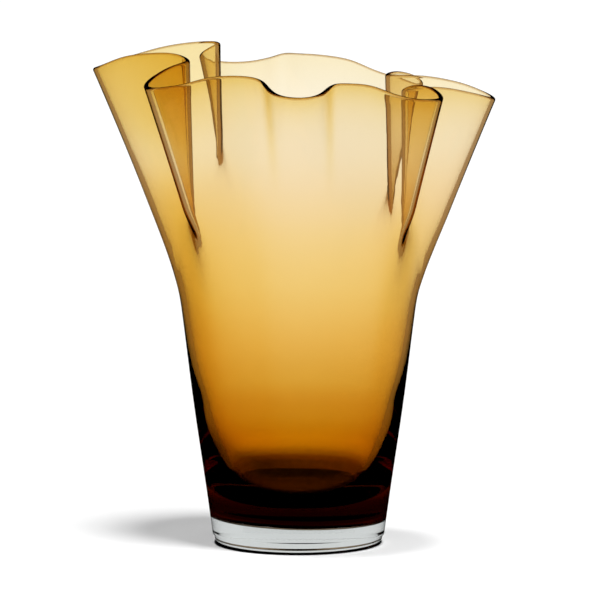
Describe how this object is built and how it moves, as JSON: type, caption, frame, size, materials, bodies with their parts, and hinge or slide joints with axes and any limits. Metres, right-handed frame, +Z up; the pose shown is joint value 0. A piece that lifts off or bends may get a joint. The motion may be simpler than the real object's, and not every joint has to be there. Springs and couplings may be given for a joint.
{
  "type": "ruffled glass vase",
  "caption": "Mouth-blown amber glass flower vase with a round tapered body, a flared rim pleated into soft lobes, and a thick clear glass foot.",
  "frame": {"origin": "on the table plane under the middle of the overall width and depth", "axes": "+Z up, -Y towards the front of the picture, +X to the right"},
  "size_m": [0.2007, 0.1744, 0.2479],
  "materials": {
    "amber_glass": "transparent amber blown glass, darker towards the thick bottom, fire-polished",
    "clear_glass": "clear polished glass"
  },
  "bodies": {
    "root": {"amber_vessel": "amber_glass", "clear_foot": "clear_glass"}
  },
  "joints": []
}
